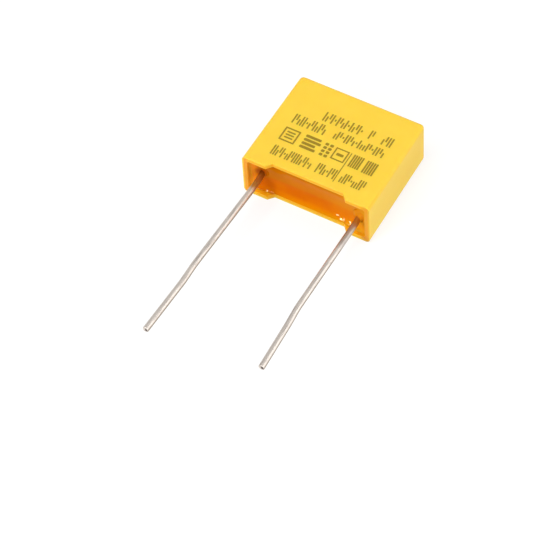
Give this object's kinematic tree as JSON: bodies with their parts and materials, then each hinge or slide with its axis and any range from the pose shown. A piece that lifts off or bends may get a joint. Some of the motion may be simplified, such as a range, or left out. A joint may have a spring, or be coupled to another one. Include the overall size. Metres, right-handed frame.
{
  "type": "film capacitor",
  "caption": "Film capacitor in a yellow moulded box, its open end filled with glossy resin between small feet, with long tinned wire leads",
  "frame": {"origin": "midway between the two leads, in the middle of the box's thickness, on the seating plane that the feet share", "axes": "X along the box, from the left lead to the right one; -Y is the way the leads leave, +Y is towards the closed end; +Z is square to the marked wide wall. The part lies on its plain wide wall"},
  "size_m": [0.013, 0.03, 0.005],
  "materials": {
    "case_plastic": "satin moulded polyester",
    "potting_resin": "glossy cast resin",
    "metallised_film": "pressed turns of metallised film",
    "zinc_spray": "rough sprayed zinc",
    "weld_metal": "smooth, once melted",
    "tinned_wire": "bright tin with fine drawing lines"
  },
  "bodies": {
    "root": {"case": "case_plastic", "potting": "potting_resin", "film_winding": "metallised_film", "end_spray_left": "zinc_spray", "end_spray_right": "zinc_spray", "weld_left": "weld_metal", "weld_right": "weld_metal", "lead_left": "tinned_wire", "lead_right": "tinned_wire"}
  },
  "joints": []
}
